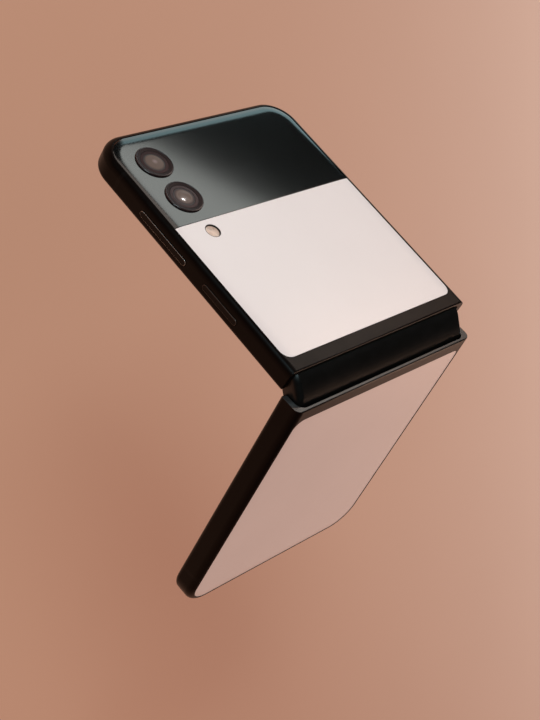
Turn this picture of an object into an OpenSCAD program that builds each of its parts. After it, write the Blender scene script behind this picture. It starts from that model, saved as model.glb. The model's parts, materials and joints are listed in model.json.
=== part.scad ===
/* [Halves] */
// Width of the phone along the hinge
body_w = 72.2; // [70:0.1:76]
// Length of one half from the fold line to its free end
half_l = 83; // [80:0.1:88]
// Thickness of one half
half_t = 6.9; // [6.8:0.05:7.4]
// Outer corner radius at the free end
corner_r = 9; // [8:0.1:10]
// Rounding of the frame's edges on the display side
front_r = 1.4; // [1:0.05:1.5]
// Rounding of the frame's edges on the back
back_r = 2.2; // [1.8:0.05:2.4]
// Rounding of the side walls' ends at the fold
end_r = 1.2; // [0.8:0.1:2]
// Rounding of the rims that meet over the spine
rim_r = 0.45; // [0.2:0.05:0.5]
// Thickness of the side walls beside the spine
hinge_wall = 1.65; // [1.5:0.05:1.7]
// Thickness of the frame's side walls
side_wall = 3.1; // [2.9:0.05:3.3]
// Thickness of the lip over the hinge
lip_t = 0.9; // [0.8:0.05:1]
// Thickness of the plate between display and cells
mid_t = 0.5; // [0.4:0.05:0.5]
// Running gap of pieces that move
run_gap = 0.1; // [0.08:0.01:0.12]

/* [Fold] */
// Fold of each half away from flat
fold_deg = 43.25; // [35:0.25:50]
// Distance of each fold axis from the middle
axis_y = 1.75; // [1.7:0.01:1.8]
// Height of the fold axes above the display face
axis_z = 0.1; // [0.05:0.01:0.15]

/* [Spine] */
// Gap between the spine's ends and the side walls
spine_gap = 0.25; // [0.2:0.01:0.3]
// Radius of the spine's flanks round each fold axis
spine_r = 5.7; // [5.6:0.01:5.72]
// Height of the spine's top above the display face
spine_top = 5.76; // [5:0.01:5.78]
// Crown radius of the spine's outer face
spine_crown_r = 12; // [11.5:0.1:14]
// Height of the spine's open underside
spine_base = 2.1; // [2.1:0.01:2.2]
// Wall of the spine's cover
spine_wall = 0.8; // [0.7:0.05:0.85]
// Length of each end cap
cap_l = 1.6; // [1.2:0.1:2]
// Rounding of the spine's ends
spine_end_r = 2.4; // [1:0.1:2.6]
// Height of the end caps' underside above the display face
cap_base = 0.3; // [0.2:0.05:0.4]

/* [Hinge] */
// Middle of each hinge set along the spine
hinge_x = 20; // [18:0.5:22]
// Length of each bracket
bracket_l = 16; // [15:0.5:18]
// Inner radius of the arc shoes
shoe_r1 = 2.6; // [2.55:0.05:2.7]
// Outer radius of the arc shoes
shoe_r2 = 3.6; // [3.5:0.05:3.7]
// Width of each arc shoe
shoe_w = 2.4; // [2:0.1:2.8]
// Thickness of the arm's plate
arm_t = 0.4; // [0.35:0.01:0.4]
// Pitch radius of the timing gears
gear_r = 1; // [0.98:0.01:1]
// Height of the gear shafts above the display face
gear_z = 3.1; // [3.05:0.01:3.12]
// Width of the gears
gear_w = 3; // [2.5:0.1:3.5]
// Radius of the gear shafts
shaft_r = 0.45; // [0.4:0.01:0.5]

/* [Glass] */
// Side gap between glass and frame edge
glass_inset = 1.9; // [1.7:0.05:2.1]
// Gap between the glass and the free end
glass_end = 1.8; // [1.6:0.05:2]
// Width of the ledge between glass and fold
ledge_w = 4.05; // [3.8:0.05:4.4]
// Thickness of the back glass
glass_t = 0.6; // [0.5:0.05:0.65]
// Corner radius of the glass near the fold
glass_near_r = 3; // [2:0.1:4]
// Width of the glass's curved edge band
glass_band = 3; // [2:0.1:4]
// Drop of the glass at its edge
glass_drop = 0.2; // [0.1:0.05:0.3]
// Distance from the free end to the cover window's near edge
window_end = 33.5; // [32:0.1:35]

/* [Display] */
// Depth of the display under the rim
display_sink = 0.45; // [0.4:0.01:0.5]
// Thickness of the display panel
display_t = 0.6; // [0.5:0.01:0.6]
// Gap between the display and the frame's edge
display_inset = 1.5; // [1.4:0.05:1.7]
// Length of display on each half that bends
bend_u = 10; // [9.5:0.1:11]
// Width of the bezel
bezel_w = 1.8; // [1.6:0.05:2.2]

/* [Cameras] */
// Distance of the cameras from the phone's side
cam_side = 12.3; // [11.5:0.1:14]
// Distance of the first camera from the free end
cam_end = 12; // [11.5:0.1:13]
// Distance between the cameras
cam_apart = 13; // [12:0.1:14]
// Outer radius of a camera ring
ring_r = 5.4; // [5:0.05:5.6]
// Height of a camera ring above the glass
ring_h = 0.45; // [0.4:0.05:0.8]
// Radius of a camera's window
lens_r = 3.9; // [3.5:0.05:4.1]
// Distance of the flash from the cover window
flash_gap = 3.9; // [3.5:0.1:4.5]
// Radius of the flash window
flash_r = 2.2; // [1.8:0.05:2.4]

/* [Keys] */
// Middle of the volume key from the fold line
volume_u = 50.1; // [48:0.1:52]
// Length of the volume key
volume_l = 19; // [16:0.1:20]
// Middle of the power key from the fold line
power_u = 26.5; // [26:0.1:28]
// Length of the power key
power_l = 13.6; // [11:0.1:14]
// Height of both keys
key_h = 1.8; // [1.6:0.05:1.9]
// Distance of the keys from the display face
key_v = 3.35; // [3.3:0.05:3.7]
// Amount by which a key stands out
key_proud = 0.25; // [0.2:0.01:0.3]
// Travel of the power key
key_travel = 0.25; // [0.2:0.01:0.28]

/* [Tray] */
// Distance from the free end to the card tray's middle
tray_end = 31; // [29:0.1:33]
// Length of the tray's outer face
tray_l = 15; // [14.5:0.1:16]
// Depth of the tray
tray_d = 17; // [16.5:0.1:18]
// Thickness of the tray's outer face
tray_h = 1.9; // [1.8:0.05:2]
// Distance of the tray from the display face
tray_v = 4.6; // [4.55:0.01:4.65]

/* [Ports] */
// Width of the charging port
port_w = 8.94; // [8.8:0.01:9.1]
// Height of the charging port
port_h = 3.26; // [3.2:0.01:3.3]
// Depth of the charging port's shell
port_d = 7.3; // [6.5:0.1:8]
// Radius of the speaker holes
hole_r = 0.55; // [0.4:0.01:0.7]
// Distance between speaker holes
hole_pitch = 2.2; // [2:0.05:2.4]

/* [Cells and boards] */
// Length of the main board
board_l = 42.3; // [41:0.1:46]
// Length of the sub board
sub_l = 18.3; // [16:0.1:22]
// Gap between the cells and the side walls
cell_side = 5; // [4.5:0.1:6]
// Gap round the cells
cell_gap = 0.6; // [0.5:0.05:0.8]
// Thickness of a circuit board
board_t = 0.8; // [0.6:0.05:0.9]
// Outer radius of the charging coil
coil_r = 20; // [16:0.5:21]
// Radius of a screw's head
screw_r = 1.1; // [1:0.05:1.2]
// Width of the cover display
cover_screen_w = 38; // [34:0.5:39]
// Length of the cover display
cover_screen_l = 22; // [18:0.5:24]
// Thickness of the cover display
cover_screen_t = 0.75; // [0.6:0.05:0.8]
// Width of the processor's shield
shield_w = 26; // [20:0.5:27]
// Length of the processor's shield
shield_l = 22; // [18:0.5:24]
// Height of the processor's shield
shield_h = 1.6; // [1.2:0.05:1.7]
// Width of the earpiece
earpiece_w = 14; // [10:0.5:16]
// Length of the earpiece
earpiece_l = 1.6; // [1.2:0.1:1.7]
// Height of the earpiece
earpiece_h = 2.4; // [1.6:0.1:2.6]
// Width of the hinge's flex cable
flex_w = 14; // [8:0.5:16]
// Length of the hinge's flex cable
flex_l = 4.4; // [3:0.1:4.8]
// Thickness of the hinge's flex cable
flex_t = 0.3; // [0.2:0.05:0.4]
// Width of the loudspeaker
speaker_w = 16; // [12:0.5:17]
// Height of the loudspeaker
speaker_h = 3; // [2.4:0.1:3.2]
// Radius of the vibration motor
motor_r = 4.6; // [4:0.1:5]
// Height of the vibration motor
motor_h = 2.8; // [2.4:0.1:3.2]

/* [Hidden] */
$fn = 64;
eps = 0.01;
fit = 0.05;
seat = 0.05;
half_w = body_w / 2;
cave_x = half_w - side_wall;
display_top = display_sink + display_t;
floor_v = display_top + mid_t;
glass_v = half_t - glass_t;
roof_v = half_t - lip_t;
glass_x = half_w - glass_inset;
glass_l = half_l - glass_end;
glass_far_r = corner_r - glass_end;
display_x = half_w - display_inset;
display_l = half_l - display_inset;
display_r = corner_r - display_inset;
pocket_x = half_w - hinge_wall;
spine_l = 2 * (pocket_x - spine_gap);
strip_w = spine_l - 2 * cap_l - 4 * run_gap;
pocket_r = 2.6;
wing_u = axis_y + 0.85;
pocket_u = axis_y + spine_r + 0.25;
bulk_u = pocket_u + 1.1;
cave_l = half_l - side_wall;
cave_r = corner_r - side_wall;
stand_z = (half_l - front_r - axis_y) * sin(fold_deg) - (front_r - axis_z) * cos(fold_deg) - axis_z + front_r;
bend_mid = display_sink + display_t / 2;
bend_y = axis_y + (bend_u - axis_y) * cos(fold_deg) + (bend_mid - axis_z) * sin(fold_deg);
bend_z = axis_z - (bend_u - axis_y) * sin(fold_deg) + (bend_mid - axis_z) * cos(fold_deg);
fold_rad = fold_deg * PI / 180;
bend_r = (bend_y - bend_u * cos(fold_deg)) / (sin(fold_deg) - fold_rad * cos(fold_deg));
bend_straight = bend_u - bend_r * fold_rad;
bend_cz = bend_z + bend_straight * sin(fold_deg) - bend_r * cos(fold_deg);
bend_steps = 24;
groove_gap = 0.25;
shoe_x = bracket_l / 2 - 1 - groove_gap - shoe_w / 2;
arm_u = bulk_u + 5;
shoe_to = 140;
gear_teeth = 8;
gear_out = gear_r + 0.2;
gear_root = gear_r - 0.27;
tooth_tip = 0.2;
tooth_base = 0.46;
gear_bay = gear_w + 4 * run_gap;
shaft_l = gear_w + 2.4;
flange_x = cave_x - 0.12;
flange_t = 0.5;
flange_over = 0.7;
switch_gap = 0.03;
cell_t = glass_v - floor_v - 0.65;
cell_u = arm_u + cell_gap;
board_u = cave_l - cell_gap - board_l;
upper_cell_l = board_u - cell_gap - cell_u;
sub_u = cave_l - cell_gap - sub_l;
lower_cell_l = sub_u - cell_gap - cell_u;
cell_x = cave_x - cell_side;
window_u = half_l - window_end;
tray_u = half_l - tray_end;
cam_x = half_w - cam_side;
cam_u1 = half_l - cam_end;
cam_u2 = cam_u1 - cam_apart;
flash_u = window_u - flash_gap;
led_w = 3;
module_h = 3;
board_v = floor_v + seat;
port_v = half_t / 2;
coil_u = cell_u + lower_cell_l / 2;
coil_t = 0.3;
front_cam_u = display_l - 4.5;
speaker_x = cave_x - 8 - speaker_w / 2;
mic_x = -10;
front_cam_r = 1.5;
face_t = 1.2;
tray_w = tray_l - 2.4;
tray_t = 0.9;
neck_r = ring_r - 0.7;
screw_spread = cave_x - 3.5;
head_t = 0.4;
shank_r = 0.55;

module upper() {
    translate([0, axis_y, stand_z + axis_z])
        rotate([-fold_deg, 0, 0])
            translate([0, -axis_y, -axis_z])
                children();
}

module lower() {
    mirror([0, 1, 0])
        upper()
            children();
}

module spine() {
    translate([0, 0, stand_z])
        children();
}

module along_x(l) {
    translate([-l / 2, 0, 0])
        rotate([90, 0, 90])
            linear_extrude(l)
                children();
}

module along_y(from, to) {
    translate([0, to, 0])
        rotate([90, 0, 0])
            linear_extrude(to - from)
                children();
}

module outline(w, from, to, near_r, far_r) {
    for (s = [-1, 1])
        translate([s * (w / 2 - near_r), from + near_r])
            circle(near_r);
    for (s = [-1, 1])
        translate([s * (w / 2 - far_r), to - far_r])
            circle(far_r);
    translate([-w / 2, from + near_r])
        square([w, to - from - near_r - far_r]);
    translate([-w / 2 + far_r, from + near_r])
        square([w - 2 * far_r, to - from - near_r]);
    translate([-w / 2 + near_r, from])
        square([w - 2 * near_r, to - from - far_r]);
}

module plate(w, from, to, near_r, far_r, v, t) {
    translate([0, 0, v])
        linear_extrude(t)
            outline(w, from, to, near_r, far_r);
}

module open_plate(w, from, to, far_r, v, t) {
    translate([0, 0, v])
        linear_extrude(t) {
            translate([-w / 2, from])
                square([w, to - from - far_r]);
            translate([-w / 2 + far_r, from])
                square([w - 2 * far_r, to - from]);
            for (s = [-1, 1])
                translate([s * (w / 2 - far_r), to - far_r])
                    circle(far_r);
        }
}

module block(x, u, v, sx, su, sv) {
    translate([x - sx / 2, u - su / 2, v])
        cube([sx, su, sv]);
}

module edge_section(reach) {
    square([reach - back_r, half_t]);
    square([reach - front_r, half_t / 2]);
    translate([0, front_r])
        square([reach, half_t - front_r - back_r]);
    translate([reach - front_r, front_r])
        circle(front_r);
    translate([reach - back_r, half_t - back_r])
        circle(back_r);
}

module half_body() {
    along_y(0, half_l - corner_r)
        for (s = [0, 1])
            mirror([s, 0])
                edge_section(half_w);
    along_x(body_w - 2 * corner_r)
        edge_section(half_l);
    for (s = [-1, 1])
        translate([s * (half_w - corner_r), half_l - corner_r, 0])
            rotate_extrude()
                edge_section(corner_r);
}

module glass_section(reach, band) {
    curve_r = (band * band + glass_drop * glass_drop) / (2 * glass_drop);
    square([reach - band, glass_t]);
    intersection() {
        square([reach, glass_t]);
        translate([reach - band, glass_t - curve_r])
            circle(curve_r, $fn = 180);
    }
}

module glass_body() {
    translate([0, 0, glass_v]) {
        along_y(ledge_w, glass_l - glass_far_r)
            for (s = [0, 1])
                mirror([s, 0])
                    glass_section(glass_x, glass_band);
        intersection() {
            along_x(2 * (glass_x - glass_far_r))
                glass_section(glass_l, glass_band);
            block(0, half_l, 0, body_w, 2 * (half_l - window_u), glass_t);
        }
        for (s = [-1, 1])
            translate([s * (glass_x - glass_far_r), glass_l - glass_far_r, 0])
                rotate_extrude()
                    glass_section(glass_far_r, glass_band);
    }
}

module near_corners(gap) {
    plate(2 * (glass_x + gap), ledge_w - gap, half_l, glass_near_r, glass_far_r, glass_v - eps, glass_t + 2 * eps);
}

module pill(l, h) {
    square([l - h, h], center = true);
    for (s = [-1, 1])
        translate([s * (l - h) / 2, 0])
            circle(h / 2);
}

module pill_x(x, u, v, l, h, depth) {
    translate([x, u, v])
        rotate([90, 0, 90])
            linear_extrude(depth)
                pill(l, h);
}

module pill_u(x, u, v, l, h, depth) {
    translate([x, u + depth, v])
        rotate([90, 0, 0])
            linear_extrude(depth)
                pill(l, h);
}

module disc(x, u, v, r, t) {
    translate([x, u, v])
        cylinder(r = r, h = t);
}

module tube(x, u, v, outer, inner, t) {
    difference() {
        disc(x, u, v, outer, t);
        disc(x, u, v - eps, inner, t + 2 * eps);
    }
}

module spine_outline() {
    translate([-spine_l / 2, 0])
        square([spine_l, spine_r - spine_end_r]);
    translate([spine_end_r - spine_l / 2, 0])
        square([spine_l - 2 * spine_end_r, spine_r]);
    for (s = [-1, 1])
        translate([s * (spine_l / 2 - spine_end_r), spine_r - spine_end_r])
            circle(spine_end_r);
}

module spine_body() {
    intersection() {
        union() {
            for (s = [-1, 1])
                translate([0, s * axis_y, axis_z])
                    rotate([0, 90, 0])
                        rotate_extrude($fn = 128)
                            rotate(-90)
                                spine_outline();
            translate([0, 0, axis_z])
                along_y(-axis_y, axis_y)
                    spine_outline();
        }
        translate([0, 0, spine_top - spine_crown_r])
            along_x(spine_l + 2)
                circle(spine_crown_r, $fn = 256);
    }
}

module spine_profile(shrink, base) {
    intersection() {
        union() {
            for (s = [-1, 1])
                translate([s * axis_y, axis_z])
                    circle(spine_r - shrink, $fn = 128);
            translate([-axis_y, 0])
                square([2 * axis_y, axis_z + spine_r - shrink]);
        }
        translate([0, spine_top - shrink - spine_crown_r])
            circle(spine_crown_r, $fn = 256);
        translate([-2 * spine_r, base])
            square([4 * spine_r, spine_r]);
    }
}

module pocket_section() {
    square_v = roof_v - pocket_r;
    translate([-pocket_x, -1])
        square([2 * pocket_x, square_v + 1]);
    translate([-pocket_x + pocket_r, -1])
        square([2 * (pocket_x - pocket_r), roof_v + 1]);
    for (s = [-1, 1])
        translate([s * (pocket_x - pocket_r), square_v])
            circle(pocket_r);
}

module end_cut() {
    along_x(body_w + 2)
        translate([-1, -1])
            square([1 + run_gap / 2, half_t + 2]);
    along_x(body_w + 2)
        difference() {
            translate([-1, -1])
                square(end_r + 1);
            translate([end_r, end_r])
                circle(end_r);
        }
    along_x(body_w + 2)
        difference() {
            translate([-1, half_t - rim_r])
                square([1 + run_gap / 2 + rim_r, rim_r + 1]);
            translate([run_gap / 2 + rim_r, half_t - rim_r])
                circle(rim_r);
        }
}

module arm_places(side) {
    for (s = [-1, 1])
        translate([s * hinge_x + side * shoe_x, 0, 0])
            children();
}

module frame_shell(side) {
    screw_u = bulk_u + 2.5;
    difference() {
        half_body();
        open_plate(2 * display_x, -1, display_l, display_r, -1, display_top + 1);
        plate(2 * cave_x, bulk_u, cave_l, 1, cave_r, floor_v, half_t);
        plate(2 * (glass_x + fit), ledge_w - fit, glass_l + fit, glass_near_r, glass_far_r, glass_v, 2);
        along_y(-1, pocket_u)
            pocket_section();
        end_cut();
        arm_places(side) {
            block(0, pocket_u, floor_v, shoe_w + 2 * fit, 2 * (bulk_u - pocket_u) + 1, arm_t + fit);
            disc(0, screw_u, 0, shank_r + fit, half_t / 2);
        }
    }
}

module band_slabs() {
    for (s = [-1, 1])
        block(s * (cave_x + side_wall), half_l - corner_r - 4, -1, 2 * side_wall, 1.2, half_t + 2);
}

module board_bores(from, l, spread) {
    for (s = [-1, 1])
        for (u = [from + 2 * screw_r, from + l - 2 * screw_r - port_d / 2])
            disc(s * spread, u, 0, shank_r + fit, floor_v + 2 * board_t);
}

module upper_frame() {
    color("#15110f")
        upper()
            difference() {
                frame_shell(1);
                band_slabs();
                pill_x(-half_w - 1, volume_u, key_v, volume_l + 2 * run_gap, key_h + 2 * run_gap, side_wall + 2);
                pill_x(-half_w - 1, power_u, key_v, power_l + 2 * run_gap, key_h + 2 * run_gap, side_wall + 2);
                pill_x(half_w - face_t - run_gap, tray_u, tray_v, tray_l + 2 * run_gap, tray_h + 2 * run_gap, 4);
                block(cave_x, tray_u, tray_v - tray_t / 2 - run_gap, 6, tray_w + 2 * run_gap, tray_t + 2 * run_gap);
                board_bores(board_u, board_l, screw_spread);
                disc(0, front_cam_u, 0, front_cam_r + fit, floor_v + 1);
            }
}

module lower_frame() {
    color("#15110f")
        lower()
            difference() {
                frame_shell(-1);
                band_slabs();
                pill_u(0, half_l - side_wall - 1, port_v, port_w + 2 * fit, port_h + 2 * fit, side_wall + 2);
                for (i = [0 : 5])
                    translate([speaker_x + (i - 2.5) * hole_pitch, half_l + 1, port_v])
                        rotate([90, 0, 0])
                            cylinder(r = hole_r, h = side_wall + 2);
                translate([mic_x, half_l + 1, port_v])
                    rotate([90, 0, 0])
                        cylinder(r = hole_r, h = side_wall + 2);
                board_bores(sub_u, sub_l, cell_x);
            }
}

module antenna_bands_upper() {
    color("#2a2522")
        upper()
            intersection() {
                frame_shell(1);
                band_slabs();
            }
}

module antenna_bands_lower() {
    color("#2a2522")
        lower()
            intersection() {
                frame_shell(-1);
                band_slabs();
            }
}

module glass_pane(from, to) {
    intersection() {
        glass_body();
        near_corners(0);
        block(0, (from + to) / 2, glass_v - eps, body_w, to - from, glass_t + 2 * eps);
    }
}

module upper_back_glass() {
    color("#e8dcd6")
        upper()
            difference() {
                glass_pane(ledge_w, window_u - seat);
                disc(-cam_x, flash_u, glass_v - eps, flash_r + fit, glass_t + 1);
            }
}

module cover_glass() {
    color("#1c1e20")
        upper()
            difference() {
                glass_pane(window_u + seat, glass_l);
                for (u = [cam_u1, cam_u2])
                    disc(-cam_x, u, glass_v - eps, neck_r + fit, glass_t + 1);
            }
}

module lower_back_glass() {
    color("#e8dcd6")
        lower()
            glass_pane(ledge_w, glass_l);
}

module cover_display() {
    color("#101214")
        upper()
            block(cam_x - (cam_side + cover_screen_w) / 3, (window_u + glass_l) / 2, glass_v - seat - cover_screen_t,
                cover_screen_w, cover_screen_l, cover_screen_t);
}

module camera_rings() {
    color("#2b2024")
        upper()
            for (u = [cam_u1, cam_u2])
                difference() {
                    union() {
                        disc(-cam_x, u, half_t, ring_r, ring_h);
                        disc(-cam_x, u, glass_v, neck_r, glass_t + eps);
                    }
                    disc(-cam_x, u, glass_v - eps, lens_r, glass_t + ring_h + 1);
                }
}

module camera_windows() {
    color("#0c0c10")
        upper()
            for (u = [cam_u1, cam_u2])
                disc(-cam_x, u, half_t, lens_r - fit, ring_h - 2 * seat);
}

module camera_modules() {
    color("#333333")
        upper() {
            for (u = [cam_u1, cam_u2]) {
                block(-cam_x, u, board_v + board_t, 2 * ring_r - 2.2, 2 * ring_r - 2.2, module_h);
                disc(-cam_x, u, board_v + board_t, lens_r - 0.6, half_t - board_v - board_t);
            }
            block(-cam_x, flash_u, board_v + board_t, led_w, led_w, glass_v - board_v - board_t - seat);
        }
}

module flash_window() {
    color("#cdb4a4")
        upper()
            disc(-cam_x, flash_u, glass_v, flash_r, glass_t / 2);
}

module half_display() {
    open_plate(2 * (display_x - run_gap), bend_u, display_l - run_gap, display_r, display_sink, display_t);
}

module main_display_upper() {
    color("#08090b")
        upper()
            difference() {
                half_display();
                disc(0, front_cam_u, 0, front_cam_r + fit, floor_v);
            }
}

module main_display_lower() {
    color("#08090b")
        lower()
            half_display();
}

module half_bezel() {
    inner_r = display_r - bezel_w;
    difference() {
        open_plate(2 * (display_x - run_gap), bend_u, display_l - run_gap, display_r, 0.05, display_sink - 0.05);
        open_plate(2 * (display_x - bezel_w), bend_u - 1, display_l - bezel_w, inner_r, -1, 2);
    }
}

module bezel_upper() {
    color("#141313")
        upper()
            half_bezel();
}

module bezel_lower() {
    color("#141313")
        lower()
            half_bezel();
}

module bezel_bumpers() {
    color("#1a1a1a")
        upper()
            for (s = [-1, 1])
                disc(s * (display_x - bezel_w / 2), half_l / 2, -0.3, 0.7, 0.35);
}

function bend_edge(r) = [
    [-r * sin(fold_deg) - bend_straight * cos(fold_deg), bend_cz + r * cos(fold_deg) - bend_straight * sin(fold_deg)],
    for (i = [0 : bend_steps])
        let (turn = fold_deg * (2 * i / bend_steps - 1))
            [r * sin(turn), bend_cz + r * cos(turn)],
    [r * sin(fold_deg) + bend_straight * cos(fold_deg), bend_cz + r * cos(fold_deg) - bend_straight * sin(fold_deg)]
];

function reversed(points) = [for (i = [len(points) - 1 : -1 : 0]) points[i]];

module display_fold() {
    color("#08090b")
        spine()
            along_x(strip_w)
                polygon(concat(bend_edge(bend_r + display_t / 2), reversed(bend_edge(bend_r - display_t / 2))));
}

module hinge_spine() {
    color("#0d0c0c")
        spine()
            difference() {
                intersection() {
                    spine_body();
                    block(0, 0, spine_base, spine_l - 2 * cap_l, 4 * spine_r, spine_r);
                }
                along_x(spine_l)
                    spine_profile(spine_wall, spine_base - 1);
            }
}

module spine_end_caps() {
    color("#171312")
        spine()
            intersection() {
                spine_body();
                for (s = [-1, 1])
                    block(s * (spine_l / 2 - cap_l + spine_r / 2), 0, cap_base, spine_r, 4 * spine_r, spine_r);
            }
}

module groove(side) {
    translate([shoe_x * side, side * axis_y, axis_z])
        along_x(shoe_w + 2 * groove_gap)
            difference() {
                circle(shoe_r2 + run_gap, $fn = 128);
                circle(shoe_r1 - run_gap, $fn = 128);
            }
}

module hinge_brackets() {
    color("#8c8f94")
        spine()
            for (s = [-1, 1])
                translate([s * hinge_x, 0, 0])
                    difference() {
                        along_x(bracket_l)
                            spine_profile(spine_wall + seat, spine_base);
                        for (side = [-1, 1])
                            groove(side);
                        translate([0, 0, gear_z - gear_out - run_gap])
                            cube([gear_bay, 8 * gear_r + 4 * gear_out, 2 * (gear_out + run_gap)], center = true);
                        translate([0, 0, gear_z])
                            cube([gear_bay, 6 * gear_r + 2 * gear_out + 4 * run_gap, 2 * (gear_out + run_gap)],
                                center = true);
                        for (i = [0 : 3])
                            translate([0, (2 * i - 3) * gear_r, gear_z])
                                along_x(shaft_l + 2 * run_gap)
                                    circle(shaft_r + fit);
                    }
}

module tooth(i) {
    rotate(i * 360 / gear_teeth)
        polygon([[gear_root - 0.1, -tooth_base / 2], [gear_out, -tooth_tip / 2],
            [gear_out, tooth_tip / 2], [gear_root - 0.1, tooth_base / 2]]);
}

module gear(place) {
    spine()
        for (s = [-1, 1])
            translate([s * hinge_x, (2 * place - 3) * gear_r, gear_z]) {
                along_x(gear_w)
                    rotate(place % 2 * 180 / gear_teeth) {
                        circle(gear_root);
                        for (i = [0 : gear_teeth - 1])
                            tooth(i);
                    }
                along_x(shaft_l)
                    circle(shaft_r);
            }
}

module gear_outer_lower() {
    color("#b0b2b5")
        gear(0);
}

module gear_idler_lower() {
    color("#b0b2b5")
        gear(1);
}

module gear_idler_upper() {
    color("#b0b2b5")
        gear(2);
}

module gear_outer_upper() {
    color("#b0b2b5")
        gear(3);
}

module shoe_section() {
    intersection() {
        translate([axis_y, axis_z])
            difference() {
                circle(shoe_r2, $fn = 128);
                circle(shoe_r1, $fn = 128);
            }
        translate([axis_y, axis_z])
            polygon([[0, 0], [3 * shoe_r2, 0], [3 * shoe_r2, 3 * shoe_r2],
                [3 * shoe_r2 * cos(shoe_to), 3 * shoe_r2 * sin(shoe_to)]]);
        translate([-2 * shoe_r2, floor_v])
            square([4 * shoe_r2, 2 * shoe_r2]);
    }
    translate([axis_y + 0.8 * shoe_r1, floor_v])
        square([arm_u - axis_y - 0.8 * shoe_r1, arm_t]);
}

module hinge_arms(side) {
    arm_places(side)
        difference() {
            along_x(shoe_w)
                shoe_section();
            disc(0, bulk_u + 2.5, 0, shank_r + fit, half_t / 2);
        }
}

module hinge_arms_upper() {
    color("#9a9da1")
        upper()
            hinge_arms(1);
}

module hinge_arms_lower() {
    color("#9a9da1")
        lower()
            hinge_arms(-1);
}

module screw(x, u, v, shank_l) {
    disc(x, u, v, screw_r, head_t);
    disc(x, u, v - shank_l, shank_r, shank_l + eps);
}

module arm_screws(side) {
    arm_places(side)
        screw(0, bulk_u + 2.5, floor_v + arm_t, arm_t + mid_t - seat);
}

module hinge_screws_upper() {
    color("#c3c5c7")
        upper()
            arm_screws(1);
}

module hinge_screws_lower() {
    color("#c3c5c7")
        lower()
            arm_screws(-1);
}

module wing() {
    block(0, (wing_u + pocket_u) / 2, display_top, strip_w, pocket_u - wing_u, mid_t);
}

module wing_plate_upper() {
    color("#7d8084")
        upper()
            wing();
}

module wing_plate_lower() {
    color("#7d8084")
        lower()
            wing();
}

module hinge_flex() {
    color("#c07a2c")
        spine()
            translate([0, 0, spine_top - spine_wall - 1.5 * flex_t])
                cube([flex_w, flex_l, flex_t], center = true);
}

module upper_cell() {
    color("#3b3f44")
        upper()
            block(0, cell_u + upper_cell_l / 2, floor_v, 2 * cell_x, upper_cell_l, cell_t);
}

module lower_cell() {
    color("#3b3f44")
        lower()
            block(0, cell_u + lower_cell_l / 2, floor_v, 2 * cell_x, lower_cell_l, cell_t);
}

module main_board() {
    color("#1f4a33")
        upper()
            difference() {
                open_plate(2 * (cave_x - 1.5), board_u, board_u + board_l, cave_r, board_v, board_t);
                board_bores(board_u, board_l, screw_spread);
                disc(0, front_cam_u, 0, front_cam_r + fit, half_t);
            }
}

module processor_shield() {
    color("#a5a8ab")
        upper()
            block(-led_w, board_u + 4 + shield_l / 2, board_v + board_t, shield_w, shield_l, shield_h);
}

module card_reader() {
    reader_v = board_v + board_t;
    color("#b9bcbe")
        upper()
            block(half_w - tray_d / 2 - 4, tray_u, reader_v, tray_d - 5, tray_w + 2,
                tray_v - tray_t / 2 - seat - reader_v);
}

module sim_tray() {
    color("#15110f")
        upper() {
            pill_x(half_w - face_t, tray_u, tray_v, tray_l, tray_h, face_t);
            difference() {
                block(half_w - tray_d / 2 - 0.5, tray_u, tray_v - tray_t / 2, tray_d - 1, tray_w, tray_t);
                block(half_w - tray_d / 2 - 1.2, tray_u, tray_v - tray_t / 4, tray_d - 5, tray_w - 2, tray_t);
            }
        }
}

module earpiece() {
    color("#222222")
        upper()
            block(0, board_u + board_l - earpiece_l / 2 - run_gap, board_v + board_t, earpiece_w, earpiece_l, earpiece_h);
}

module front_camera() {
    color("#111317")
        upper() {
            disc(0, front_cam_u, display_sink, front_cam_r, board_v + board_t - display_sink);
            block(0, front_cam_u - 1.6, board_v + board_t, 4.6, 4, 1.4);
        }
}

module key_switches() {
    face = flange_x - flange_t - key_travel - switch_gap;
    from = power_u - power_l / 2;
    to = volume_u + volume_l / 2;
    color("#b07a35")
        upper()
            block(-(face - 0.2), (from + to) / 2, floor_v, 0.4, to - from, key_v + key_h / 2 - floor_v);
}

module key(u, l, flange_l) {
    pill_x(-half_w - key_proud, u, key_v, l, key_h, half_w + key_proud - flange_x);
    pill_x(-flange_x, u, key_v, flange_l, key_h + flange_over, flange_t);
}

module volume_key() {
    color("#120f0e")
        upper()
            key(volume_u, volume_l, 7);
}

module power_key() {
    color("#120f0e")
        upper()
            key(power_u, power_l, power_l + flange_over);
}

module sub_board() {
    color("#1f4a33")
        lower()
            difference() {
                open_plate(2 * (cave_x - 1.5), sub_u, sub_u + sub_l, cave_r, board_v, board_t);
                board_bores(sub_u, sub_l, cell_x);
                block(0, half_l - port_d / 2, 0, port_w + 4 * fit, port_d + 2, half_t);
            }
}

module usb_port() {
    port_u = half_l - port_d - 0.3;
    color("#9ea1a4")
        lower() {
            difference() {
                pill_u(0, port_u, port_v, port_w, port_h, port_d);
                pill_u(0, port_u + 0.8, port_v, port_w - 0.6, port_h - 0.6, port_d);
            }
            block(0, port_u + 0.8 + 2.2, port_v - 0.35, 6.7, 4.4 + 2 * eps, 0.7);
        }
}

module loudspeaker() {
    color("#26282a")
        lower()
            block(speaker_x, sub_u + sub_l / 2, board_v + board_t, speaker_w, sub_l - 2, speaker_h);
}

module vibration_motor() {
    color("#a7a9ab")
        lower()
            disc(-cell_x / 2, sub_u + sub_l / 2, board_v + board_t, motor_r, motor_h);
}

module charging_coil() {
    color("#b3692d")
        lower()
            tube(0, coil_u, floor_v + cell_t + seat, coil_r, coil_r / 2, coil_t);
}

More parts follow.
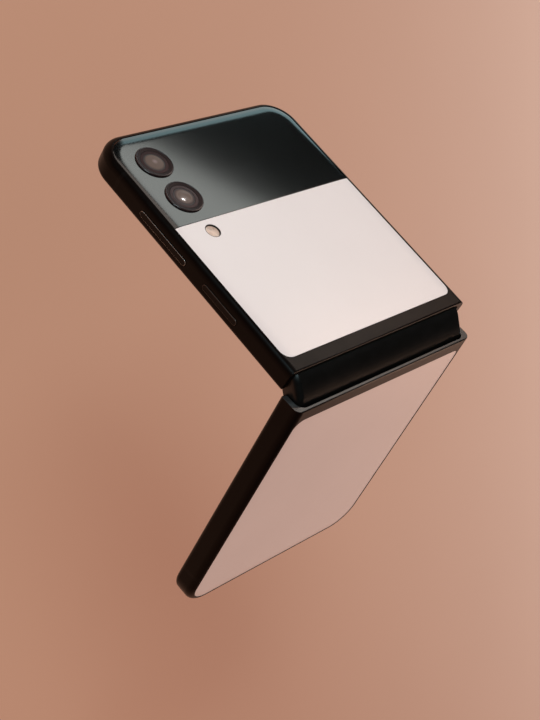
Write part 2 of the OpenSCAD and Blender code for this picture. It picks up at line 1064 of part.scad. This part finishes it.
module board_screws_upper() {
    color("#c3c5c7")
        upper()
            for (s = [-1, 1])
                for (u = [board_u + 2 * screw_r, board_u + board_l - 2 * screw_r - port_d / 2])
                    screw(s * screw_spread, u, board_v + board_t, board_t + mid_t - seat);
}

module board_screws_lower() {
    color("#c3c5c7")
        lower()
            for (s = [-1, 1])
                for (u = [sub_u + 2 * screw_r, sub_u + sub_l - 2 * screw_r - port_d / 2])
                    screw(s * cell_x, u, board_v + board_t, board_t + mid_t - seat);
}

hinge_spine();
spine_end_caps();
hinge_brackets();
display_fold();
hinge_flex();
gear_outer_upper();
gear_idler_upper();
gear_idler_lower();
gear_outer_lower();
hinge_arms_upper();
hinge_arms_lower();
hinge_screws_upper();
hinge_screws_lower();
wing_plate_upper();
wing_plate_lower();
upper_frame();
upper_back_glass();
cover_glass();
cover_display();
camera_rings();
camera_windows();
camera_modules();
flash_window();
main_display_upper();
bezel_upper();
upper_cell();
main_board();
processor_shield();
earpiece();
front_camera();
card_reader();
key_switches();
volume_key();
power_key();
sim_tray();
antenna_bands_upper();
lower_frame();
lower_back_glass();
main_display_lower();
bezel_lower();
lower_cell();
sub_board();
usb_port();
loudspeaker();
vibration_motor();
charging_coil();
antenna_bands_lower();
board_screws_upper();
board_screws_lower();
bezel_bumpers();
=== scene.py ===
"""Looks of the foldable smartphone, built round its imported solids. Metres throughout."""
import json
import math

import bmesh
import bpy
from mathutils import Matrix, Vector


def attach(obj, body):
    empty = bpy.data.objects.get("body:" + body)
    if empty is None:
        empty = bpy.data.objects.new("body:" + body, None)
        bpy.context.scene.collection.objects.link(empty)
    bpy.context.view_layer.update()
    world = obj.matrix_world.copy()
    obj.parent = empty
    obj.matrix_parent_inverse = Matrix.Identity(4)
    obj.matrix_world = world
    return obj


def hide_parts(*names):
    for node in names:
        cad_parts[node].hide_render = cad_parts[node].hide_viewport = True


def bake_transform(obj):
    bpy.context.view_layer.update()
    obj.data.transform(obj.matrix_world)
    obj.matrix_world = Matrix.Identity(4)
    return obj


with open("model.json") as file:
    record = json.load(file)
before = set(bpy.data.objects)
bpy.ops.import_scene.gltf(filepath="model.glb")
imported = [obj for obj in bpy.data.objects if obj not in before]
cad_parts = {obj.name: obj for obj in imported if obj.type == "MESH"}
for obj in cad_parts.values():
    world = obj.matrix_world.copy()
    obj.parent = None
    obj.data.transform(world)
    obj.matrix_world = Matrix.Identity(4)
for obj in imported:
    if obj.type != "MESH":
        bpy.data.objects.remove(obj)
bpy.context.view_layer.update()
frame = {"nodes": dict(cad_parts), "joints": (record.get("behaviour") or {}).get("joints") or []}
NODES = frame["nodes"]
JOINTS = {joint["name"]: joint for joint in frame["joints"]}

MM = 0.001
HALF_T = 6.9  # thickness of a half, mm
CAMERA_X = 23.8  # cameras and flash from the middle, mm
CAMERA_U = (71, 58)  # cameras from the fold, mm
FLASH_U = 45.6  # flash from the fold, mm
DISPLAY_MID = 0.75  # middle of the display's thickness over the display's side, mm
FOLD = math.radians(43.25)  # each half's slope at rest
HINGE = Vector(JOINTS["upper_fold"]["pos_m"])
AXIS_Y = HINGE.y
AXIS_Z = 0.1 * MM
FOLD_Z = HINGE.z - AXIS_Z


def upper_matrix():
    """Takes a point given as (x, distance from the fold, height over the display) to the upper half."""
    turn = Matrix.Rotation(-FOLD, 4, "X")
    return Matrix.Translation(HINGE) @ turn @ Matrix.Translation((0, -AXIS_Y, -AXIS_Z))


UPPER = upper_matrix()


def on_back(u):
    """The point on the upper half's back at the cameras' x and a distance from the fold, in metres."""
    return Vector((-CAMERA_X, u, HALF_T)) * MM


def add_object(name, data):
    made = bpy.data.objects.new(name, data)
    bpy.context.scene.collection.objects.link(made)
    return made


def make_camera():
    """The camera at the photograph's place, solved from the phone's own corners and edges."""
    focal_px = 1500.44
    frame_h_px = 720
    from_fold = Vector((-288.693, 88.995, 249.932)) * MM
    right = Vector((0.66818582, -0.16096832, 0.72637244))
    down = Vector((-0.27112306, -0.96186184, 0.03625042))
    forward = Vector((0.69283476, -0.22115834, -0.68634466))
    data = bpy.data.cameras.new("camera")
    data.sensor_width = 36
    data.lens = focal_px * data.sensor_width / frame_h_px
    data.clip_start = 0.01
    data.clip_end = 20
    camera = add_object("camera", data)
    turn = Matrix((right, -down, -forward)).transposed().to_4x4()
    camera.matrix_world = Matrix.Translation(from_fold + Vector((0, 0, FOLD_Z))) @ turn
    bpy.context.scene.camera = camera


make_camera()


class Finish:
    """A node material built step by step."""

    def __init__(self, name, color, roughness=0.4, metallic=0.0, coat=0.0, coat_roughness=0.1,
                 specular=0.5):
        self.material = bpy.data.materials.new(name)
        self.material.use_nodes = True
        self.tree = self.material.node_tree
        self.shader = self.tree.nodes["Principled BSDF"]
        self.shader.inputs["Base Color"].default_value = (*color, 1)
        self.shader.inputs["Roughness"].default_value = roughness
        self.shader.inputs["Metallic"].default_value = metallic
        self.shader.inputs["Coat Weight"].default_value = coat
        self.shader.inputs["Coat Roughness"].default_value = coat_roughness
        self.shader.inputs["Specular IOR Level"].default_value = specular
        self.color = color
        self.place = self.tree.nodes.new("ShaderNodeTexCoord").outputs["Object"]

    def node(self, kind, **inputs):
        made = self.tree.nodes.new(kind)
        for key, value in inputs.items():
            socket = made.inputs[key.replace("_", " ")]
            if isinstance(value, bpy.types.NodeSocket):
                self.tree.links.new(value, socket)
            else:
                socket.default_value = value
        return made

    def math_node(self, kind, operation, first, second=None):
        """A scalar or vector maths node on a socket, with a fixed second value where it takes one."""
        made = self.tree.nodes.new(kind)
        made.operation = operation
        self.tree.links.new(first, made.inputs[0])
        if second is not None:
            made.inputs[1].default_value = second
        return made.outputs

    def noise(self, scale, detail, stretch=(1, 1, 1)):
        moved = self.node("ShaderNodeMapping", Vector=self.place, Scale=stretch).outputs[0]
        texture = self.node("ShaderNodeTexNoise", Vector=moved, Scale=scale, Detail=detail)
        return texture.outputs["Fac"]

    def spread(self, value, low, high, start=0.35, end=0.65):
        """Maps start to low and end to high. Without them, the middle of a noise takes the whole range."""
        scaled = self.node("ShaderNodeMapRange", Value=value)
        scaled.inputs["From Min"].default_value = start
        scaled.inputs["From Max"].default_value = end
        scaled.inputs["To Min"].default_value = low
        scaled.inputs["To Max"].default_value = high
        return scaled.outputs[0]

    def mix_color(self, factor, first, second):
        """Sets the base colour to a mix. The first colour may be a socket."""
        mix = self.tree.nodes.new("ShaderNodeMix")
        mix.data_type = "RGBA"
        colors = [socket for socket in mix.inputs if socket.type == "RGBA"]
        if isinstance(first, bpy.types.NodeSocket):
            self.tree.links.new(first, colors[0])
        else:
            colors[0].default_value = (*first, 1)
        colors[1].default_value = (*second, 1)
        self.tree.links.new(factor, mix.inputs["Factor"])
        out = [socket for socket in mix.outputs if socket.type == "RGBA"][0]
        self.tree.links.new(out, self.shader.inputs["Base Color"])

    def mottle(self, scale, amount, stretch=(1, 1, 1)):
        """Lets the colour drift a little over the surface."""
        darker = [c * (1 - amount) for c in self.color]
        lighter = [min(1, c * (1 + amount)) for c in self.color]
        self.mix_color(self.spread(self.noise(scale, 3.0, stretch), 0, 1), darker, lighter)
        return self

    def vary_roughness(self, scale, low, high, stretch=(1, 1, 1)):
        value = self.spread(self.noise(scale, 4.0, stretch), low, high)
        self.tree.links.new(value, self.shader.inputs["Roughness"])
        return self

    def grain(self, scale, height):
        """Fine relief, its height in metres."""
        bump = self.node("ShaderNodeBump", Height=self.noise(scale, 2.0))
        bump.inputs["Distance"].default_value = height
        bump.inputs["Strength"].default_value = 1.0
        self.tree.links.new(bump.outputs[0], self.shader.inputs["Normal"])
        return self

    def paint_rim_highlight(self, color):
        """Paints the first 0.1 mm from the fold, on the rim beside the spine, as lighter grey metal that
        stands in for the rim's highlight line: a painted highlight.
        """
        full_until = 0.06 * MM
        none_from = 0.13 * MM
        metallic = 0.8
        parts = self.node("ShaderNodeSeparateXYZ", Vector=self.place).outputs
        side = self.math_node("ShaderNodeMath", "ABSOLUTE", parts["Y"])[0]
        point = self.node("ShaderNodeCombineXYZ", Y=side, Z=parts["Z"]).outputs[0]
        along_half = (0, math.cos(FOLD), -math.sin(FOLD))
        away = self.math_node("ShaderNodeVectorMath", "DOT_PRODUCT", point, along_half)["Value"]
        zero = AXIS_Y * math.cos(FOLD) - HINGE.z * math.sin(FOLD) - AXIS_Y
        near = self.spread(away, 1, 0, zero + full_until, zero + none_from)
        self.mix_color(near, self.shader.inputs["Base Color"].links[0].from_socket, color)
        metal = self.math_node("ShaderNodeMath", "MULTIPLY", near, metallic)[0]
        self.tree.links.new(metal, self.shader.inputs["Metallic"])

    def rings(self, steps):
        """Colours a turned piece by its distance from the axis: steps are (radius in mm, colour)."""
        flat = self.node("ShaderNodeMapping", Vector=self.place, Scale=(1, 1, 0)).outputs[0]
        length = self.math_node("ShaderNodeVectorMath", "LENGTH", flat)["Value"]
        reach = steps[-1][0]
        ramp = self.node("ShaderNodeValToRGB", Fac=self.spread(length, 0, 1, 0, reach * MM))
        entries = ramp.color_ramp.elements
        while len(entries) < len(steps):
            entries.new(0.5)
        for entry, (radius, color) in zip(entries, steps):
            entry.position = radius / reach
            entry.color = (*color, 1)
        self.tree.links.new(ramp.outputs["Color"], self.shader.inputs["Base Color"])
        return self


def finishes():
    made = {}
    for key in ("frame", "frame_rim_highlight"):
        made[key] = Finish(f"{key}_black", (0.0030, 0.0014, 0.0009), 0.3, specular=0.11)
        made[key].mottle(90, 0.12).vary_roughness(400, 0.285, 0.315).grain(5200, 0.0000015)
    # Only the lower half's rim gets the lighter grey metal strip: a painted highlight line.
    made["frame_rim_highlight"].paint_rim_highlight((0.085, 0.085, 0.085))
    made["key"] = Finish("key_black", (0.0036, 0.0018, 0.0012), 0.3, specular=0.15)
    made["key"].mottle(120, 0.12).vary_roughness(500, 0.27, 0.36).grain(5200, 0.0000015)
    made["key_edge"] = Finish("key_edge", (0.85, 0.81, 0.78), 0.3, 0.9)
    made["key_edge"].mottle(200, 0.1).vary_roughness(500, 0.28, 0.36)
    made["key_rim"] = Finish("key_rim", (0.10, 0.075, 0.065), 0.3, 0.8)
    made["key_rim"].mottle(200, 0.1).vary_roughness(500, 0.26, 0.34)
    made["band"] = Finish("band_black", (0.0036, 0.0020, 0.0015), 0.34, specular=0.13)
    made["band"].mottle(200, 0.15).vary_roughness(600, 0.32, 0.38)
    made["spine"] = Finish("spine_black", (0.0018, 0.0015, 0.0012), 0.34, specular=0.6)
    made["spine"].mottle(110, 0.15).vary_roughness(450, 0.33, 0.39).grain(6000, 0.000002)
    made["cream"] = Finish("cream_glass", (0.78, 0.705, 0.70), 0.34, 0.0, 0.35, 0.18)
    made["cream"].mottle(35, 0.012).vary_roughness(700, 0.31, 0.37).grain(9000, 0.0000008)
    made["cover"] = Finish("cover_black", (0.0015, 0.0022, 0.0024), 0.10, 0.0, 0.6, 0.10)
    made["cover"].mottle(25, 0.2).vary_roughness(60, 0.095, 0.105)
    made["ring"] = Finish("ring_metal", (0.030, 0.018, 0.018), 0.26, 0.3)
    made["ring"].mottle(300, 0.15).vary_roughness(900, 0.2, 0.28)
    made["ring_dark"] = Finish("ring_groove", (0.006, 0.0045, 0.0045), 0.4)
    made["ring_dark"].mottle(300, 0.2).vary_roughness(900, 0.35, 0.45)
    made["ring_slope"] = Finish("ring_slope", (0.020, 0.010, 0.010), 0.5, specular=0.12)
    made["ring_slope"].mottle(300, 0.15).vary_roughness(900, 0.38, 0.46)
    made["screen"] = Finish("screen_black", (0.006, 0.006, 0.0065), 0.09, 0.0, 0.8, 0.04)
    made["screen"].mottle(20, 0.2).vary_roughness(50, 0.07, 0.12)
    made["bezel"] = Finish("bezel_black", (0.014, 0.0135, 0.013), 0.6)
    made["bezel"].mottle(300, 0.15).vary_roughness(800, 0.54, 0.66).grain(6000, 0.000004)
    made["steel"] = Finish("steel", (0.45, 0.46, 0.47), 0.3, 1.0)
    made["steel"].mottle(300, 0.06, (1, 8, 8)).vary_roughness(900, 0.22, 0.4, (1, 12, 12))
    made["cell"] = Finish("cell_pouch", (0.06, 0.065, 0.07), 0.45, 0.2)
    made["cell"].mottle(60, 0.1).vary_roughness(300, 0.4, 0.5)
    made["board"] = Finish("board_green", (0.012, 0.07, 0.035), 0.4)
    made["board"].mottle(500, 0.3).vary_roughness(600, 0.35, 0.5)
    made["chip"] = Finish("chip_black", (0.02, 0.02, 0.022), 0.45)
    made["chip"].mottle(400, 0.15).vary_roughness(700, 0.4, 0.52)
    made["copper"] = Finish("copper", (0.55, 0.22, 0.09), 0.32, 1.0)
    made["copper"].mottle(300, 0.1).vary_roughness(600, 0.25, 0.4)
    made["flash"] = Finish("flash_beige", (0.62, 0.44, 0.35), 0.3, 0.0, 0.5, 0.1)
    made["flash"].mottle(500, 0.2).vary_roughness(600, 0.25, 0.35)
    made["lens"] = Finish("lens_glass", (0.040, 0.021, 0.021), 0.5, specular=0.1)
    made["lens"].mottle(80, 0.2).vary_roughness(90, 0.5, 0.6)
    made["lens_dark"] = Finish("lens_dark", (0.006, 0.005, 0.005), 0.3)
    made["lens_dark"].mottle(80, 0.2).vary_roughness(90, 0.27, 0.33)
    purple = (0.048, 0.027, 0.027)
    brown = (0.135, 0.097, 0.082)
    edge = 4.2
    # The wide camera's lens is lighter in its middle and fades to brown by 0.95 mm from the axis: a
    # painted highlight.
    wide = [(0, (0.25, 0.185, 0.18)), (0.45, (0.20, 0.15, 0.14)), (0.95, brown), (2.3, brown),
            (2.75, (0.085, 0.06, 0.052)), (3.05, purple), (edge, purple)]
    main = [(0, (0.13, 0.095, 0.08)), (0.6, brown), (2.0, brown), (2.35, (0.095, 0.066, 0.058)),
            (2.65, purple), (edge, purple)]
    for key, roughness, drift, steps in (
        ("lens_wide_painted_highlight", 0.3, (0.48, 0.56), wide),
        ("lens_main", 0.5, (0.48, 0.56), main),
        ("lens_front", 0.14, (0.13, 0.16), main),
    ):
        made[key] = Finish(key, brown, roughness, specular=0.12)
        made[key].rings(steps).vary_roughness(200, *drift)
    return {name: finish.material for name, finish in made.items()}


FINISH = finishes()
NODE_FINISH = {
    "frame": ["upper_frame", "sim_tray"],
    # The lower frame alone carries the painted rim highlight.
    "frame_rim_highlight": ["lower_frame"],
    "key": ["volume_key", "power_key"],
    "band": ["antenna_bands_upper", "antenna_bands_lower"],
    "spine": ["hinge_spine", "spine_end_caps"],
    "cream": ["upper_back_glass", "lower_back_glass"],
    "cover": ["cover_glass"],
    "ring": ["camera_rings"],
    "lens": ["camera_windows"],
    "flash": ["flash_window"],
    "screen": ["main_display_upper", "main_display_lower", "display_fold", "cover_display"],
    "bezel": ["bezel_upper", "bezel_lower", "bezel_bumpers"],
    "cell": ["upper_cell", "lower_cell"],
    "board": ["main_board", "sub_board"],
    "chip": ["camera_modules", "front_camera", "earpiece", "loudspeaker"],
    "copper": ["hinge_flex", "key_switches", "charging_coil"],
}


def dress_nodes():
    """Gives each CAD node its material: steel where the table names no other."""
    named = {node: key for key, nodes in NODE_FINISH.items() for node in nodes}
    for name, node in NODES.items():
        node.data.materials.clear()
        node.data.materials.append(FINISH[named.get(name, "steel")])


def smooth_nodes():
    """Shades the round stretches of the solids smoothly without moving any point."""
    for node in NODES.values():
        node.data.shade_smooth()
        node.data.set_sharp_from_angle(angle=math.radians(28))


def soften(names, width, segments=3, edge_finish=None):
    """Breaks the sharp edges of CAD nodes with a small bevel, as modifiers on top of the node."""
    for name in names:
        node = NODES[name]
        weld = node.modifiers.new("weld", "WELD")
        weld.merge_threshold = 0.002 * MM
        flat = node.modifiers.new("flat", "DECIMATE")
        flat.decimate_type = "DISSOLVE"
        flat.angle_limit = math.radians(0.3)
        bevel = node.modifiers.new("bevel", "BEVEL")
        bevel.width = width
        bevel.segments = segments
        bevel.limit_method = "ANGLE"
        bevel.angle_limit = math.radians(32)
        bevel.harden_normals = True
        if edge_finish:
            node.data.materials.append(FINISH[edge_finish])
            bevel.material = 1
        normals = node.modifiers.new("normals", "WEIGHTED_NORMAL")
        normals.keep_sharp = True
        normals.weight = 80


def close_mesh(build, name, sharp_deg, keys):
    """Turns a bmesh into an object with outward faces and the finishes named by keys."""
    bmesh.ops.recalc_face_normals(build, faces=build.faces)
    mesh = bpy.data.meshes.new(name)
    build.to_mesh(mesh)
    build.free()
    mesh.set_sharp_from_angle(angle=math.radians(sharp_deg))
    for key in keys:
        mesh.materials.append(FINISH[key])
    return add_object(name, mesh)


def lathe(name, profile, u, keys, bands):
    """A turned piece on the upper half's back, at u mm from the fold.

    The profile is a list of (radius, height) in mm, from the axis underneath, out, and back to the axis
    on top. Bands give each stretch its finish among keys.
    """
    segments = 96
    build = bmesh.new()
    rings = []
    for radius, height in profile:
        reach = radius * MM
        turns = [2 * math.pi * step / segments for step in range(segments if radius else 1)]
        rings.append([build.verts.new((reach * math.cos(turn), reach * math.sin(turn), height * MM))
                      for turn in turns])
    for first, second, band in zip(rings, rings[1:], bands):
        for step in range(segments):
            after = (step + 1) % segments
            if len(second) == 1:
                corners = [first[step], first[after], second[0]]
            elif len(first) == 1:
                corners = [first[0], second[after], second[step]]
            else:
                corners = [first[step], first[after], second[after], second[step]]
            face = build.faces.new(corners)
            face.smooth = True
            face.material_index = band
    piece = close_mesh(build, name, 24, keys)
    piece.matrix_world = UPPER @ Matrix.Translation(on_back(u))
    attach(piece, "upper_half")
    return piece


def make_cameras():
    """Low metal rings round stepped lens wells, each with a small domed front lens."""
    ring = [(0, -0.6), (5.40, -0.6), (5.40, 0.22), (5.37, 0.33), (5.29, 0.40), (5.18, 0.43),
            (5.06, 0.43), (5.00, 0.40), (4.94, 0.36), (4.30, 0.26), (4.12, 0.22), (4.05, 0.10), (0, 0.10)]
    ring_bands = [0, 0, 0, 0, 0, 0, 0, 1, 2, 2, 1, 1]
    dome_r = 2.9
    dome_foot = 0.08
    crown = 12
    lens = [(0, -0.4), (4.02, -0.4), (4.02, 0.16), (3.96, 0.20), (3.20, 0.20), (3.12, 0.16),
            (3.04, 0.10), (dome_r, dome_foot)]
    dome_base = dome_foot - math.sqrt(crown ** 2 - dome_r ** 2)
    lens += [(radius, dome_base + math.sqrt(crown ** 2 - radius ** 2))
             for radius in (2.6, 2.2, 1.8, 1.4, 1.0, 0.6, 0.3, 0)]
    lens_bands = [0] * 4 + [1] * 6 + [2] * 5
    glasses = (("lens_wide_painted_highlight", "lens_wide_painted_highlight"), ("lens_main", "lens_front"))
    rings = []
    lenses = []
    for count, (u, glass) in enumerate(zip(CAMERA_U, glasses), 1):
        rings.append(lathe(f"camera_ring_{count}", ring, u, ("ring", "ring_dark", "ring_slope"),
                           ring_bands))
        lenses.append(lathe(f"camera_lens_{count}", lens, u, ("lens", *glass), lens_bands))
    for piece in rings:
        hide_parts("camera_rings")
    for piece in lenses:
        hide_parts("camera_windows")
    return lenses


def make_flash():
    """A lamp window sunk a little into the glass, with a dark wall round it."""
    profile = [(0, -0.55), (2.20, -0.55), (2.20, -0.02), (2.15, 0.0), (2.08, -0.03), (2.02, -0.12),
               (1.98, -0.42), (1.6, -0.40), (1.1, -0.34), (0.55, -0.30), (0, -0.29)]
    bands = [0, 0, 0, 0, 0, 0, 1, 1, 1, 1]
    piece = lathe("flash_lens", profile, FLASH_U, ("lens_dark", "flash"), bands)
    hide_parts("flash_window")


def bend_rows():
    """Half of the display's bend at rest, from the middle outwards: (y, height over the fold, slope).

    It is an arc that meets the half's display in a straight stretch.
    """
    reach = 10 * MM
    crown = 0.74 * MM
    arc_steps = 28
    out = reach - AXIS_Y
    up = DISPLAY_MID * MM - AXIS_Z
    end_y = AXIS_Y + out * math.cos(FOLD) + up * math.sin(FOLD)
    end_z = AXIS_Z - out * math.sin(FOLD) + up * math.cos(FOLD)
    radius = (end_z + end_y * math.tan(FOLD) - crown) / (1 / math.cos(FOLD) - 1)
    straight = end_y / math.cos(FOLD) - radius * math.tan(FOLD)
    rows = []
    for step in range(arc_steps + 1):
        slope = FOLD * step / arc_steps
        rows.append((radius * math.sin(slope), crown - radius + radius * math.cos(slope), slope))
    y, z, _ = rows[-1]
    for share in (0.34, 0.67, 1.0):
        rows.append((y + straight * share * math.cos(FOLD), z - straight * share * math.sin(FOLD), FOLD))
    return rows


def make_fold():
    """The bend of the main display as two strips that meet under the spine, one for each half."""
    half_width = 32.4 * MM
    half_thickness = 0.3 * MM
    rows = bend_rows()
    for side, body in ((1, "upper_half"), (-1, "lower_half")):
        build = bmesh.new()
        loops = []
        for y, z, slope in rows:
            mid = Vector((0, y, z))
            out = Vector((0, math.sin(slope), math.cos(slope))) * half_thickness
            corners = ((-half_width, mid + out), (half_width, mid + out),
                       (half_width, mid - out), (-half_width, mid - out))
            loops.append([build.verts.new((x, side * point.y, FOLD_Z + point.z))
                          for x, point in corners])
        for first, second in zip(loops, loops[1:]):
            for k in range(4):
                face = build.faces.new([first[k], first[(k + 1) % 4], second[(k + 1) % 4], second[k]])
                face.smooth = True
        build.faces.new(loops[0])
        build.faces.new(loops[-1])
        piece = close_mesh(build, f"display_bend_{body}", 30, ("screen",))
        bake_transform(piece)
        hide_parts("display_fold")


def make_floor():
    """A plain pale floor, so far below the phone that its shadow falls softly, as in the photograph."""
    half_side = 6
    mesh = bpy.data.meshes.new("floor")
    build = bmesh.new()
    bmesh.ops.create_grid(build, x_segments=2, y_segments=2, size=half_side)
    build.to_mesh(mesh)
    build.free()
    paint = Finish("floor_paint", (0.66, 0.366, 0.248), 0.8, specular=0.1).mottle(3, 0.03)
    mesh.materials.append(paint.material)
    floor = add_object("floor", mesh)
    floor.location.z = -165 * MM
    return floor


def light_group(name, members, state="INCLUDE"):
    """The only pieces that a light reaches, or with EXCLUDE the only ones that it leaves out."""
    group = bpy.data.collections.new(name)
    for member in members:
        group.objects.link(member)
    for entry in group.collection_objects:
        entry.light_linking.link_state = state
    return group


def area_light(name, place, aim, size, power, color, roll=0.0, group=None):
    """A soft panel that the camera itself doesn't see."""
    data = bpy.data.lights.new(name, "AREA")
    data.shape = "RECTANGLE"
    data.size, data.size_y = size
    data.energy = power
    data.color = color
    light = add_object(name, data)
    turn = (aim - place).to_track_quat("-Z", "Y").to_matrix().to_4x4()
    light.matrix_world = Matrix.Translation(place) @ turn @ Matrix.Rotation(roll, 4, "Z")
    light.visible_camera = False
    light.light_linking.receiver_collection = group
    return light


def card(name, place, aim, size, radiance, color, group, roll=0.0):
    """A panel given by its radiance, which is what a glossy surface shows of it."""
    area_light(name, place, aim, size, math.pi * radiance * size[0] * size[1], color, roll, group)


def heading(azimuth):
    """The level direction at an azimuth in degrees."""
    turn = math.radians(azimuth)
    return Vector((math.cos(turn), math.sin(turn), 0))


def make_world():
    """A soft warm room for matt surfaces, dim in glossy ones, with the backdrop's tone for the camera."""
    world = bpy.data.worlds.new("soft_world")
    bpy.context.scene.world = world
    world.use_nodes = True
    tree = world.node_tree
    rays = tree.nodes.new("ShaderNodeLightPath")
    layer = tree.nodes["Background"]
    layer.inputs["Color"].default_value = (0.56, 0.425, 0.37, 1)
    out = layer.outputs[0]
    for ray, color in (
        ("Is Glossy Ray", (0.022, 0.019, 0.017, 1)),
        ("Is Camera Ray", (0.46, 0.26, 0.18, 1)),
    ):
        other = tree.nodes.new("ShaderNodeBackground")
        other.inputs["Color"].default_value = color
        mix = tree.nodes.new("ShaderNodeMixShader")
        tree.links.new(rays.outputs[ray], mix.inputs[0])
        tree.links.new(out, mix.inputs[1])
        tree.links.new(other.outputs[0], mix.inputs[2])
        out = mix.outputs[0]
    tree.links.new(out, tree.nodes["World Output"].inputs["Surface"])


def make_main_lights():
    """A broad key on the cameras' side and a wash that lightens the floor on the photograph's right."""
    distance = 0.80
    rise = math.radians(41)
    key_way = heading(122) * math.cos(rise) + Vector((0, 0, math.sin(rise)))
    area_light("key_light", key_way * distance + HINGE, HINGE, (0.26, 0.26), 3.1, (0.67, 0.93, 1.0))
    place = Vector((0.65, -0.12, 0.09))
    straight_down = place - Vector((0, 0, 1))
    area_light("floor_light", place, straight_down, (0.50, 0.90), 2.2, (0.43, 0.74, 1.0))


def make_lens_lamp(lens):
    """The small white highlight in the second camera."""
    place = Vector((0.270, 0.470, 0.215))
    aim = UPPER @ on_back(CAMERA_U[1])
    lamp = area_light("lens_lamp", place, aim, (0.070, 0.042), 1.5, (1.0, 0.93, 0.90),
                      group=light_group("front_lens", [lens]))
    lamp.visible_diffuse = False


def make_window_cards(group):
    """What the cover window mirrors: a broad grey card, and a warmer one for its rounded rim.

    Both stand upright across the mirrored view and lean in it as the window's edges do.
    """
    distance = 0.5
    lean = (0.61, 0.80)
    ahead = heading(48)
    aside = heading(48 + 90)
    across = aside * lean[0] + Vector((0, 0, lean[1]))
    along = aside * -lean[1] + Vector((0, 0, lean[0]))
    for name, shift, size, radiance, color in (
        ("window_card", (0.075, 0.1255), (0.22, 0.091), 2.25, (0.96, 1.0, 0.95)),
        ("window_rim_card", (-0.060, 0.252), (0.19, 0.146), 1.15, (1.0, 0.84, 0.75)),
    ):
        place = ahead * distance + along * shift[0] + across * shift[1]
        card(name, place, place - ahead, size, radiance, color, group, -math.atan2(*lean))


def make_edge_cards(group):
    """What the metal edges and the spine mirror.

    Each card goes by its azimuth, lower and upper height, distance, width, radiance and colour. All stand
    upright but the last, which is so high that it leans towards the hinge.
    """
    for name, azimuth, (low, high), distance, width, radiance, color, leans in (
        ("top_edge_card", 44, (-0.052, 0.022), 0.30, 0.19, 1.4, (0.62, 0.95, 1.0), False),
        ("ledge_card", 40, (0.180, 0.230), 0.50, 0.13, 5.0, (1.0, 0.62, 0.45), False),
        ("spine_low_card", -42, (0.030, 0.240), 0.60, 0.18, 5.6, (1.0, 0.62, 0.44), False),
        ("spine_high_card", 41, (0.310, 0.390), 0.50, 0.12, 6.0, (1.0, 0.96, 0.92), True),
    ):
        ahead = heading(azimuth)
        place = ahead * distance + Vector((0, 0, (low + high) / 2))
        aim = HINGE if leans else place - ahead
        card(name, place, aim, (width, high - low), radiance, color, group)


bpy.context.scene.view_settings.view_transform = "Standard"
dress_nodes()
smooth_nodes()
soften(["upper_frame", "lower_frame"], 0.2 * MM)
soften(["hinge_spine", "spine_end_caps"], 0.1 * MM)
soften(["volume_key"], 0.2 * MM, 2, "key_edge")
soften(["power_key", "sim_tray"], 0.16 * MM, 2, "key_rim")
soften(["cover_glass"], 0.12 * MM)
camera_lenses = make_cameras()
make_flash()
make_fold()
off_floor = light_group("flagged", [make_floor()], "EXCLUDE")
make_world()
make_main_lights()
make_lens_lamp(camera_lenses[1])
make_window_cards(off_floor)
make_edge_cards(off_floor)
